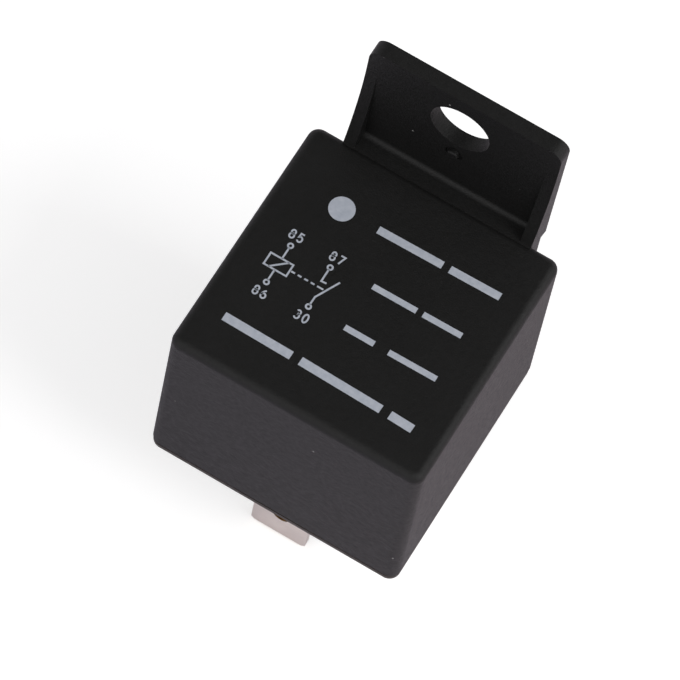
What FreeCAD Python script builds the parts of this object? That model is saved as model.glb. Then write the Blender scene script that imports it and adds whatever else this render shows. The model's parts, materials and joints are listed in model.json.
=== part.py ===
import FreeCAD, Part
import math
import os
import re
import Sketcher
from collections import namedtuple
from FreeCAD import Placement, Rotation, Vector

# Automotive mini relay with a moulded mounting bracket.
# Frame: the origin is the centre of the seating plane, which is the underside of the base.
# +X points to the right, +Y to the bracket at the back, +Z to the top of the cover. Millimetres and degrees.

# Driving dimensions: name, value, what it measures
SIZES = [
    ("cover_height", 24.15, "seating plane to top face"),
    ("cover_room", 2.2, "air between blade 87 and the cover's wall, at the roof"),
    ("draft_angle", 0.5, "moulding draft of the cover's walls, inside and outside"),
    ("corner_round", 1.2, "radius of the cover's four upright corners"),
    ("top_round", 0.95, "radius round the top face"),
    ("rim_round", 0.3, "radius of the cover's lower edge"),
    ("rim_gap", 0.12, "open seam between the cover's lower edge and the base's flange"),
    ("cover_wall", 1.1, "side wall of the cover"),
    ("top_wall", 1.2, "roof of the cover"),
    ("inner_round", 0.5, "radius of the cavity's upright corners"),
    ("flange_thickness", 0.7, "edge of the base that shows under the cover's rim"),
    ("flange_inset", 0.06, "step from the cover's rim back to the flange"),
    ("flange_round", 0.25, "radius of the flange's lower edge"),
    ("base_thickness", 3.0, "seating plane to the base's upper face"),
    ("base_fit", 0.08, "gap between the base's plug and the cover's walls"),
    ("snap_length", 4.0, "length of a snap wedge"),
    ("snap_reach", 0.35, "how far a snap wedge stands out"),
    ("snap_rise", 1.2, "height of a snap wedge"),
    ("snap_drop", 0.5, "snap wedges below the base's upper face"),
    ("snap_offset", 7.0, "snap wedge centre from the middle of the side"),
    ("snap_gap", 0.12, "clearance of a snap wedge in its recess"),
    ("guide_thickness", 1.0, "thickness of the cover's ribs behind the yoke"),
    ("guide_inset", 0.6, "rib centre from the yoke's side edge"),
    ("guide_length", 12.0, "how far the ribs reach down from the roof"),
    ("guide_gap", 0.12, "clearance between ribs and yoke"),
    ("bracket_width", 21.2, "width of the mounting bracket"),
    ("bracket_height", 16.0, "bracket above the top face"),
    ("bracket_corner", 1.4, "radius of the bracket's upper corners"),
    ("plate_standoff", 1.65, "cover's back face to the plate's front, at the top"),
    ("plate_thickness", 1.7, "thickness of the bracket plate"),
    ("hole_diameter", 6.5, "screw hole in the bracket"),
    ("hole_drop", 5.35, "screw hole centre below the bracket's top edge"),
    ("gusset_thickness", 1.25, "thickness of the two end gussets"),
    ("gusset_reach", 1.95, "how far a gusset's foot stands in front of the plate"),
    ("gusset_drop", 3.5, "upper end of the gussets below the bracket's top edge"),
    ("root_fillet", 0.6, "radius between ledge and plate"),
    ("ledge_depth", 0.6, "thickness of the ledge where it meets the cover"),
    ("ledge_slope", 2.7, "drop of the ledge's sloped underside at the plate's back"),
    ("skirt_depth", 9.6, "how far the plate goes down behind the cover"),
    ("skirt_inset", 0.3, "step from the plate's ends in to the skirt's ends"),
    ("skirt_rib", 1.2, "thickness of the ribs behind the cover"),
    ("skirt_roof", 3.2, "solid depth above the pockets behind the cover"),
    ("skirt_gap", 0.15, "wall left between pockets and cover"),
    ("dimple_diameter", 1.9, "dimple in the plate, round the gate nub"),
    ("dimple_depth", 0.12, "depth of that dimple"),
    ("nub_diameter", 1.2, "gate nub in the dimple"),
    ("nub_reach", 0.45, "how far the nub stands out in front of the plate"),
    ("nub_round", 0.2, "rounded edge of the nub"),
    ("nub_drop", 5.0, "nub centre below the hole's centre"),
    ("blade_width", 6.3, "plug-in blades"),
    ("blade_thickness", 0.8, "plug-in blades"),
    ("blade_length", 12.0, "blades below the seating plane"),
    ("tip_chamfer", 0.6, "cut corners of a blade's tip"),
    ("tip_bevel", 0.2, "thinned edge of a blade's tip"),
    ("blade_hole", 1.8, "detent hole in a blade"),
    ("blade_hole_rise", 4.3, "detent hole centre above the tip"),
    ("slot_gap", 0.04, "clearance of a blade in its slot"),
    ("back_blade_inset", 2.9, "blade 30 in front of the yoke's back"),
    ("side_blade_shift", 1.0, "blades 85 and 86 in front of the middle"),
    ("spare_slot_shift", 2.9, "blind slot of the unused blade, in front of the middle"),
    ("spare_slot_depth", 1.2, "depth of that blind slot"),
    ("recess_depth", 1.4, "moulded recesses in the base's underside"),
    ("recess_width", 4.6, "width of these recesses"),
    ("recess_wall", 0.6, "wall between a recess and a slot"),
    ("recess_margin", 2.4, "material left between recess and rim"),
    ("shoulder_width", 7.5, "shoulders of the blades on the base"),
    ("shoulder_rise", 1.2, "height of these shoulders"),
    ("tang_width", 1.6, "tang that a coil lead is joined to"),
    ("tang_rise", 5.8, "top of the tang above the base"),
    ("pad_width", 3.0, "pads on the base under the yoke's foot"),
    ("coil_shift", 0.75, "coil axis behind the middle"),
    ("coil_front_gap", 0.5, "air between the bobbin and the arm of blade 87"),
    ("coil_back_gap", 0.6, "air between the bobbin and the yoke's upright"),
    ("coil_side_gap", 1.0, "air between the bobbin's flanges and the blades beside it"),
    ("core_radius", 2.4, "shank of the iron core"),
    ("core_step", 0.4, "step down from the shank to the core's riveted end"),
    ("core_head_lip", 0.6, "riveted head beyond that end"),
    ("core_head_rise", 0.6, "height of the riveted head"),
    ("pole_radius", 4.0, "pole disc"),
    ("pole_thickness", 0.7, "pole disc"),
    ("bore_gap", 0.1, "clearance of the core in the bobbin"),
    ("barrel_wall", 0.8, "wall of the bobbin's barrel"),
    ("coil_flange_radius", 7.0, "bobbin flanges"),
    ("coil_flange", 0.9, "thickness of the bobbin flanges"),
    ("winding_inset", 1.1, "copper winding inside the edge of the flanges"),
    ("tape_thickness", 0.16, "tape round the winding"),
    ("tape_margin", 1.3, "winding left bare above and below the tape"),
    ("lug_width", 3.0, "bobbin lugs that guide the leads"),
    ("lug_rise", 1.7, "height of the lugs"),
    ("lug_gap", 0.15, "clearance between a lug and its blade"),
    ("yoke_thickness", 1.6, "yoke plate"),
    ("yoke_side_gap", 2.0, "air between the yoke and the blades beside it"),
    ("yoke_foot_reach", 6.2, "front end of the yoke's foot, from the coil's axis"),
    ("yoke_bend", 1.9, "outer radius of the yoke's bend"),
    ("ear_width", 1.4, "ears that keep the armature in line"),
    ("ear_rise", 1.2, "height of the ears"),
    ("spring_lug_width", 2.4, "lug for the return spring"),
    ("spring_lug_thickness", 0.9, "lug for the return spring"),
    ("spring_lug_reach", 2.0, "lug behind the yoke"),
    ("spring_lug_level", 5.2, "lug above the base"),
    ("open_angle", 3.5, "lift of the armature at rest"),
    ("hinge_gap", 0.06, "air left under the armature when it is pulled in"),
    ("armature_thickness", 1.4, "armature plate"),
    ("armature_width", 11.6, "armature plate in front of the yoke"),
    ("armature_corner", 2.2, "cut front corners of the armature"),
    ("neck_gap", 0.2, "clearance of the armature's neck in the yoke's ears"),
    ("tail_width", 4.4, "tail that the return spring pulls on"),
    ("tail_inset", 0.1, "tail's end in front of the end of the spring's lug"),
    ("arm_thickness", 0.35, "contact arm"),
    ("arm_width", 5.4, "contact arm"),
    ("arm_back", 3.5, "back end of the arm, from the hinge"),
    ("arm_overhang", 2.3, "front end of the arm, from the contact's centre"),
    ("arm_joggle", 1.0, "drop of the arm in front of the armature"),
    ("arm_joggle_run", 1.1, "length of that drop"),
    ("arm_joggle_lead", 0.4, "from the armature's front end to that drop"),
    ("arm_land", 0.1, "flat of the arm between that drop and the contact's edge"),
    ("arm_tip_round", 2.0, "rounded corners of the arm's tip"),
    ("rivet_spacing", 3.2, "between the two rivets of the arm"),
    ("rivet_clear", 0.15, "air between the rivets' heads and the braid"),
    ("rivet_radius", 0.7, "shank of a rivet"),
    ("rivet_head", 1.2, "radius of its head"),
    ("rivet_rise", 0.45, "height of its head"),
    ("rivet_round", 0.36, "rounded edge of its head"),
    ("contact_setback", 1.9, "contact centre behind the middle of blade 87"),
    ("contact_radius", 1.35, "contact faces"),
    ("contact_height", 0.7, "contact heads"),
    ("contact_crown", 0.12, "crown of the moving contact"),
    ("contact_shank", 0.8, "radius of the contact shanks"),
    ("contact_upset", 1.15, "radius of the riveted side"),
    ("contact_upset_rise", 0.4, "height of the riveted side"),
    ("contact_gap", 0.06, "air left between the contacts when pulled in"),
    ("seat_margin", 0.3, "bent arm of blade 87 beyond the contact's edge"),
    ("arm_87_round", 1.2, "rounded corners of that arm"),
    ("sheet_bend", 0.4, "inner bend radius of the blades' sheet"),
    ("stop_floor", 1.2, "floor under the backstop post's socket"),
    ("stop_width", 3.0, "backstop post"),
    ("stop_clear", 0.65, "backstop post beside the shoulders of blade 87"),
    ("stop_bar", 1.2, "height of the backstop's bar"),
    ("stop_overhang", 2.6, "bar past the middle plane"),
    ("stop_gap", 0.08, "air between the arm's tip and the bar at rest"),
    ("roof_gap", 0.28, "air between the backstop and the cover's roof"),
    ("foot_30_margin", 1.4, "end of blade 30's folded foot from the braid's centre"),
    ("rivet_30_offset", 3.2, "rivet of blade 30 from the middle plane"),
    ("rivet_30_shift", 1.5, "rivet of blade 30 in front of the blade's middle"),
    ("rivet_30_radius", 0.9, "shank of that rivet"),
    ("rivet_30_head", 1.5, "radius of its heads"),
    ("rivet_30_rise", 0.5, "height of its lower head"),
    ("spring_wire", 0.22, "radius of the spring wire"),
    ("spring_radius", 0.95, "mean radius of the return spring"),
    ("spring_turns", 7, "turns of the return spring"),
    ("spring_bend", 0.45, "bend radii at the ends of the coils"),
    ("spring_clear", 0.25, "air between the coils and the plates they pull on"),
    ("hook_reach", 1.5, "length of a hook over its plate"),
    ("hook_gap", 0.06, "clearance of the hooks"),
    ("lead_radius", 0.2, "coil leads"),
    ("lead_bend", 0.5, "bends of the coil leads"),
    ("braid_radius", 0.65, "copper braid"),
    ("braid_bend", 2.2, "bends of the braid"),
    ("braid_inset", 1.1, "braid from the back end of the contact arm"),
    ("braid_spread", 1.4, "braid's upright run outside the middle of blade 86"),
    ("braid_clear", 1.15, "air between the braid's lower end and the yoke"),
    ("braid_gap", 0.08, "air between the braid's end and the contact arm"),
]

doc = FreeCAD.newDocument("relay")
sheet = doc.addObject("Spreadsheet::Sheet", "Sizes")
for row, (name, value, note) in enumerate(SIZES, start=1):
    sheet.set(f"A{row}", note)
    sheet.set(f"B{row}", str(value))
    sheet.setAlias(f"B{row}", name)
doc.recompute()

SIZE_NAMES = re.compile(r"\b(" + "|".join(name for name, value, note in SIZES) + r")\b")
# How near two lengths count as the same, and how far a line may lean from the axis that it runs along
TOUCH = 0.02
LEAN = 0.05
# Flats round the return spring's thin wire
FLAT_COUNT = 8

# Places that several pieces share, from the coil outwards: distances from the middle, or from the hinge line
ARM_87_REACH = "(contact_setback + contact_radius + seat_margin)"
FRONT_BLADE = f"(coil_flange_radius - coil_shift + coil_front_gap + {ARM_87_REACH})"
YOKE_BACK = "(coil_flange_radius + coil_shift + coil_back_gap + yoke_thickness)"
BACK_BLADE = f"({YOKE_BACK} - back_blade_inset)"
SIDE_BLADE = "(coil_flange_radius + coil_side_gap + blade_thickness / 2)"
YOKE_WIDTH = f"(2 * ({SIDE_BLADE} - blade_thickness / 2 - yoke_side_gap))"
YOKE_FRONT = "(yoke_foot_reach - coil_shift)"
CONTACT_SHIFT = f"({YOKE_BACK} + {FRONT_BLADE} - contact_setback)"
ARM_REACH = f"({CONTACT_SHIFT} + arm_overhang)"
JOGGLE_END = f"({CONTACT_SHIFT} - contact_radius - arm_land)"
JOGGLE_START = f"({JOGGLE_END} - arm_joggle_run)"
ARMATURE_REACH = f"({JOGGLE_START} - arm_joggle_lead)"
TAIL_REACH = "(spring_lug_reach - tail_inset)"
BRAID_SHIFT = "(arm_back + braid_inset)"
BRAID_FOOT = f"({YOKE_WIDTH} / 2 + braid_clear + braid_radius)"
RIVET_SHIFT = f"({BRAID_SHIFT} + braid_radius + rivet_clear + rivet_head)"
STOP_SIDE = "(shoulder_width / 2 + stop_clear)"
WINDING_RADIUS = "(coil_flange_radius - winding_inset)"
CORE_SPIGOT = "(core_radius - core_step)"
SPRING_AXIS = f"({YOKE_BACK} + spring_lug_reach + hook_gap + spring_wire - spring_radius)"

# The cover round them: 28 mm wide and deep at its top face
CAVITY_SIDE = f"(2 * ({FRONT_BLADE} + blade_thickness / 2 + cover_room))"
COVER_SIDE = f"({CAVITY_SIDE} + 2 * cover_wall)"
PLATE_FRONT = f"({COVER_SIDE} / 2 + plate_standoff)"
PLATE_BACK = f"({PLATE_FRONT} + plate_thickness)"
HOLE_LEVEL = "(cover_height + bracket_height - hole_drop)"

# Levels, from the roof down to the hinge, and from the base up to the coil
CAVITY_TOP = "(cover_height - top_wall)"
RIM_LEVEL = "(flange_thickness + rim_gap)"
RIM_SIDE = f"({COVER_SIDE} + 2 * (cover_height - {RIM_LEVEL}) * tan(draft_angle))"
PLUG_SIDE = f"({CAVITY_SIDE} + 2 * ({CAVITY_TOP} - base_thickness) * tan(draft_angle) - 2 * base_fit)"
ARM_TIP = "(armature_thickness - arm_joggle)"
STOP_LEVEL = f"({CAVITY_TOP} - roof_gap - stop_bar)"
ARM_LIFT = f"({ARM_REACH} * sin(open_angle) + ({ARM_TIP} + arm_thickness) * cos(open_angle))"
HINGE_LEVEL = f"({STOP_LEVEL} - stop_gap - {ARM_LIFT})"
POLE_LEVEL = f"({HINGE_LEVEL} - hinge_gap)"
ARM_87_TOP = f"({HINGE_LEVEL} + {ARM_TIP} - 2 * contact_height - contact_gap)"
YOKE_FOOT = "(base_thickness + blade_thickness)"
COIL_FOOT = f"({YOKE_FOOT} + yoke_thickness)"
COIL_LENGTH = f"({POLE_LEVEL} - pole_thickness - {COIL_FOOT})"
SNAP_LEVEL = "(base_thickness - snap_drop - snap_rise)"
LUG_FOOT = "(base_thickness + spring_lug_level)"
LUG_TOP = f"({LUG_FOOT} + spring_lug_thickness)"

Bend = namedtuple("Bend", "radius side")
Circle = namedtuple("Circle", "place radius")


def tie(text):
    """The same expression with each size looked up in the sheet."""
    return SIZE_NAMES.sub(r"Sizes.\1", text)


def size_of(text):
    """The present value of an expression."""
    return float(sheet.evalExpression(text))


def new_body(name):
    body = doc.addObject("PartDesign::Body", name)
    body.Label = name
    return body


def origin_part(body, role):
    return next(part for part in body.Origin.OriginFeatures if part.Role == role)


def place(piece, across="0", back="0", up="0"):
    """Put a piece at a point of the relay's frame, tied to the sheet."""
    for axis, text in zip("xyz", (across, back, up)):
        piece.setExpression(f"Placement.Base.{axis}", tie(text))


def hang_on_hinge(piece):
    """Put a piece of the armature group on the hinge, lifted to its rest angle."""
    piece.Placement = Placement(Vector(), Rotation(Vector(-1, 0, 0), 1))
    place(piece, back=YOKE_BACK, up=HINGE_LEVEL)
    piece.setExpression("Placement.Rotation.Angle", tie("open_angle"))


# Sketches

def hold_point(sketch, geometry, point, spot):
    """Hold a point of a sketch at a pair of expressions, measured from the sketch's origin."""
    for kind, text in zip(("DistanceX", "DistanceY"), spot):
        rule = sketch.addConstraint(Sketcher.Constraint(kind, -1, 1, geometry, point, size_of(text)))
        sketch.setExpression(f"Constraints[{rule}]", tie(text))


def hold_radius(sketch, geometry, text):
    rule = sketch.addConstraint(Sketcher.Constraint("Radius", geometry, size_of(text)))
    sketch.setExpression(f"Constraints[{rule}]", tie(text))


def arc_between(start, end, bend):
    """A sketch arc from start to end, with its centre on the left of the way (side 1) or the right (-1)."""
    chord = end - start
    radius = size_of(bend.radius)
    rise = math.sqrt(max(radius ** 2 - (chord.Length / 2) ** 2, 0))
    left = Vector(-chord.y, chord.x, 0).normalize()
    centre = (start + end) / 2 + left * rise * bend.side
    first, last = (start, end) if bend.side > 0 else (end, start)
    angles = [math.atan2(spot.y - centre.y, spot.x - centre.x) for spot in (first, last)]
    return Part.ArcOfCircle(Part.Circle(centre, Vector(0, 0, 1), radius), *angles)


def draw_outline(sketch, loop):
    """A closed outline through its corners, each held in place. A Bend makes the next side an arc."""
    corners, bends = [], {}
    for item in loop:
        if isinstance(item, Bend):
            bends[len(corners) - 1] = item
        else:
            corners.append(item)
    spots = [Vector(size_of(across), size_of(up), 0) for across, up in corners]
    sides = []
    for index, start in enumerate(spots):
        end = spots[(index + 1) % len(spots)]
        bend = bends.get(index)
        side = arc_between(start, end, bend) if bend else Part.LineSegment(start, end)
        backwards = bool(bend) and bend.side < 0
        sides.append((sketch.addGeometry(side, False), 2 if backwards else 1, 1 if backwards else 2))
    for index, (side, first, last) in enumerate(sides):
        after, after_first, after_last = sides[(index + 1) % len(sides)]
        sketch.addConstraint(Sketcher.Constraint("Coincident", side, last, after, after_first))
        hold_point(sketch, side, first, corners[index])
        if index in bends:
            hold_radius(sketch, side, bends[index].radius)


def draw(body, name, plane, *loops, shift="0"):
    """A sketch on one of the body's origin planes, moved along the plane's normal by shift."""
    sketch = body.newObject("Sketcher::SketchObject", f"{body.Name}_{name}")
    sketch.AttachmentSupport = [(origin_part(body, plane), "")]
    sketch.MapMode = "FlatFace"
    sketch.setExpression("AttachmentOffset.Base.z", tie(shift))
    for loop in loops:
        if isinstance(loop, Circle):
            spot = Vector(*(size_of(text) for text in loop.place), 0)
            circle = sketch.addGeometry(Part.Circle(spot, Vector(0, 0, 1), size_of(loop.radius)), False)
            hold_point(sketch, circle, 3, loop.place)
            hold_radius(sketch, circle, loop.radius)
        else:
            draw_outline(sketch, loop)
    doc.recompute()
    return sketch


def block(left, low, right, high):
    """The four corners of a rectangle."""
    return [(left, low), (right, low), (right, high), (left, high)]


def middle_block(width, low, high):
    """A rectangle centred on the sketch's upright axis."""
    return block(f"-{width} / 2", low, f"{width} / 2", high)


def square(side):
    """A square centred on the sketch's origin."""
    return middle_block(side, f"-{side} / 2", f"{side} / 2")


# Features

def check_grows(body, before, grows):
    """Stop if a feature failed, or added nothing where it should, or cut nothing."""
    doc.recompute()
    change = body.Shape.Volume - before
    if "Invalid" in body.Tip.State or change * (1 if grows else -1) <= 0:
        raise RuntimeError(f"{body.Tip.Name} changes the volume by {change:.4f}")


def solid_volume(body):
    return body.Shape.Volume if body.Tip else 0.0


def add_feature(body, kind, sketch, suffix, length, both, back, taper):
    before = solid_volume(body)
    feature = body.newObject(f"PartDesign::{kind}", f"{sketch.Name}_{suffix}")
    feature.Profile = sketch
    feature.SideType = "Symmetric" if both else "One side"
    feature.Reversed = back
    if length:
        feature.setExpression("Length", tie(length))
    else:
        feature.Type = "ThroughAll"
    if taper:
        feature.setExpression("TaperAngle", tie(taper))
    check_grows(body, before, kind == "Pad")
    return feature


def pad(body, sketch, length, both=False, back=False, taper=None):
    return add_feature(body, "Pad", sketch, "pad", length, both, back, taper)


def pocket(body, sketch, length=None, both=False, back=False, taper=None):
    return add_feature(body, "Pocket", sketch, "cut", length, both, back, taper)


def revolve(body, sketch):
    """Turn a profile round the body's upright axis."""
    feature = body.newObject("PartDesign::Revolution", f"{sketch.Name}_turned")
    feature.Profile = sketch
    feature.ReferenceAxis = (origin_part(body, "Z_Axis"), [""])
    feature.Angle = 360
    check_grows(body, 0.0, True)
    return feature


def mirror(body, *features):
    """Repeat features on the other side of the middle plane."""
    before = solid_volume(body)
    grows = "Pad" in features[0].TypeId
    feature = body.newObject("PartDesign::Mirrored", f"{features[0].Name}_mirrored")
    feature.Originals = list(features)
    feature.MirrorPlane = (origin_part(body, "YZ_Plane"), [""])
    body.Tip = feature
    check_grows(body, before, grows)
    return feature


def ease_edges(body, kind, name, radius, chosen):
    """A fillet or chamfer on every edge of the body so far that chosen picks."""
    base = body.Tip
    names = [f"Edge{number}" for number, edge in enumerate(base.Shape.Edges, start=1) if chosen(edge)]
    if not names:
        raise RuntimeError(f"no edge found for {name}")
    feature = body.newObject(f"PartDesign::{kind}", f"{body.Name}_{name}")
    feature.Base = (base, names)
    feature.setExpression("Radius" if kind == "Fillet" else "Size", tie(radius))
    doc.recompute()
    if "Invalid" in feature.State or feature.Shape.isNull():
        raise RuntimeError(f"{name} failed on {names}")
    return feature


def fillet(body, name, radius, chosen):
    return ease_edges(body, "Fillet", name, radius, chosen)


def chamfer(body, name, size, chosen):
    return ease_edges(body, "Chamfer", name, size, chosen)


# Ways to pick edges

def same(one, other):
    return abs(one - other) < TOUCH


def reach_along(edge, axis):
    """How far an edge runs along an axis."""
    return getattr(edge.BoundBox, f"{axis.upper()}Length")


def is_line_along(edge, axis):
    """True for a straight edge along an axis, or within a few degrees of it."""
    length = reach_along(edge, axis)
    return len(edge.Vertexes) == 2 and length > TOUCH and all(
        reach_along(edge, other) < LEAN * length for other in "xyz" if other != axis)


def lies_at(edge, axis, value):
    """True for an edge that lies wholly at one value of an axis."""
    box = edge.BoundBox
    low, high = getattr(box, f"{axis.upper()}Min"), getattr(box, f"{axis.upper()}Max")
    return same(low, value) and same(high, value)


def middle_of(edge):
    return edge.BoundBox.Center


# Cover with its bracket

def cover_box(body):
    """The drafted outer box, with rounded upright corners, top edge and lower edge."""
    outside = draw(body, "outside", "XY_Plane", square(COVER_SIDE), shift="cover_height")
    pad(body, outside, f"cover_height - {RIM_LEVEL}", back=True, taper="draft_angle")
    fillet(body, "corners", "corner_round", lambda edge: is_line_along(edge, "z"))
    top, rim = size_of("cover_height"), size_of(RIM_LEVEL)
    fillet(body, "top_edge", "top_round", lambda edge: lies_at(edge, "z", top))
    fillet(body, "rim_edge", "rim_round", lambda edge: lies_at(edge, "z", rim))


def bracket_plate(body):
    """The plate, the ledge that carries it and the ribbed skirt behind the cover."""
    inside = f"({COVER_SIDE} / 2 - cover_wall / 2)"
    top = "(cover_height + bracket_height)"
    side_view = draw(body, "bracket", "YZ_Plane", [
        (inside, "cover_height"), (inside, "cover_height - ledge_depth"),
        (PLATE_BACK, "cover_height - ledge_slope"), (PLATE_BACK, top), (PLATE_FRONT, top),
        (PLATE_FRONT, "cover_height")])
    pad(body, side_view, "bracket_width", both=True)
    skirt = draw(body, "skirt", "YZ_Plane",
                 block(inside, "cover_height - skirt_depth", PLATE_BACK, "cover_height - ledge_depth"))
    pad(body, skirt, "bracket_width - 2 * skirt_inset", both=True)
    half = "(bracket_width / 2 - skirt_inset)"
    bay = f"((2 * {half} - 4 * skirt_rib) / 3)"
    near_cover = f"({COVER_SIDE} / 2 + skirt_depth * tan(draft_angle) + skirt_gap)"
    bays = []
    for number in range(3):
        left = f"(-{half} + skirt_rib + {number} * ({bay} + skirt_rib))"
        bays.append(block(left, near_cover, f"({left} + {bay})", PLATE_FRONT))
    pockets = draw(body, "skirt_bays", "XY_Plane", *bays, shift="cover_height - skirt_depth")
    pocket(body, pockets, "skirt_depth - skirt_roof", back=True)


def bracket_gussets(body):
    """Two curved webs at the plate's ends, each tangent to the plate at its top."""
    rise = "(bracket_height - gusset_drop)"
    curve = f"(({rise} ^ 2 + gusset_reach ^ 2) / (2 * gusset_reach))"
    foot = f"({PLATE_FRONT} - gusset_reach)"
    inside = f"({PLATE_FRONT} + plate_thickness / 2)"
    sink = "(cover_height - ledge_depth / 2)"
    web = draw(body, "gusset", "YZ_Plane", [
        (foot, sink), (inside, sink), (inside, f"cover_height + {rise}"),
        (PLATE_FRONT, f"cover_height + {rise}"), Bend(curve, -1), (foot, "cover_height")],
        shift="bracket_width / 2 - gusset_thickness")
    mirror(body, pad(body, web, "gusset_thickness"))


def bracket_details(body):
    """Root fillet, rounded upper corners, screw hole, and the gate nub in its dimple."""
    top, front = size_of("cover_height"), size_of(PLATE_FRONT)
    fillet(body, "root", "root_fillet", lambda edge: is_line_along(edge, "x") and lies_at(edge, "z", top)
           and lies_at(edge, "y", front))
    crown = size_of("cover_height + bracket_height")
    fillet(body, "plate_corners", "bracket_corner", lambda edge: is_line_along(edge, "y")
           and lies_at(edge, "z", crown))
    hole = draw(body, "hole", "XZ_Plane", Circle(("0", HOLE_LEVEL), "hole_diameter / 2"))
    pocket(body, hole)
    spot = ("0", f"{HOLE_LEVEL} - nub_drop")
    dimple = draw(body, "dimple", "XZ_Plane", Circle(spot, "dimple_diameter / 2"), shift=f"-{PLATE_FRONT}")
    pocket(body, dimple, "dimple_depth")
    floor = f"-({PLATE_FRONT} + dimple_depth)"
    nub = draw(body, "nub", "XZ_Plane", Circle(spot, "nub_diameter / 2"), shift=floor)
    pad(body, nub, "dimple_depth + nub_reach")
    nose = size_of(f"{PLATE_FRONT} - nub_reach")
    fillet(body, "nub_edge", "nub_round", lambda edge: lies_at(edge, "y", nose))


def cover_cavity(body):
    """The drafted hollow, its guide ribs behind the yoke and the recesses for the base's snap wedges."""
    cavity = draw(body, "cavity", "XY_Plane", square(CAVITY_SIDE), shift=CAVITY_TOP)
    pocket(body, cavity, CAVITY_TOP, taper="draft_angle")
    roof = size_of(CAVITY_TOP)
    fillet(body, "cavity_corners", "inner_round", lambda edge: is_line_along(edge, "z")
           and same(edge.BoundBox.ZMax, roof) and same(abs(middle_of(edge).x), abs(middle_of(edge).y)))
    offset = f"({YOKE_WIDTH} / 2 - guide_inset)"
    rib = draw(body, "guide", "XY_Plane",
               block(f"{offset} - guide_thickness / 2", f"{YOKE_BACK} + guide_gap",
                     f"{offset} + guide_thickness / 2", f"{COVER_SIDE} / 2 - cover_wall / 2"),
               shift="cover_height - top_wall / 2")
    mirror(body, pad(body, rib, "guide_length", back=True))
    wall = f"({CAVITY_SIDE} / 2 - base_fit)"
    low, high = f"({SNAP_LEVEL} - snap_gap)", f"({SNAP_LEVEL} + snap_rise + snap_gap)"
    room = block(wall, low, f"{PLUG_SIDE} / 2 + snap_reach + snap_gap", high)
    length = "snap_length + 2 * snap_gap"
    recesses = [pocket(body, draw(body, name, "XZ_Plane", room, shift=shift), length, both=True)
                for name, shift in (("recess_front", "snap_offset"), ("recess_back", "-snap_offset"))]
    mirror(body, *recesses)


def make_cover():
    body = new_body("cover")
    cover_box(body)
    bracket_plate(body)
    bracket_gussets(body)
    bracket_details(body)
    cover_cavity(body)
    return body


# Base

def blade_slot(across, back, width, depth):
    """The outline of a blade's slot, as wide along X and Y as given, with its clearance."""
    return block(f"{across} - ({width}) / 2 - slot_gap", f"{back} - ({depth}) / 2 - slot_gap",
                 f"{across} + ({width}) / 2 + slot_gap", f"{back} + ({depth}) / 2 + slot_gap")


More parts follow.
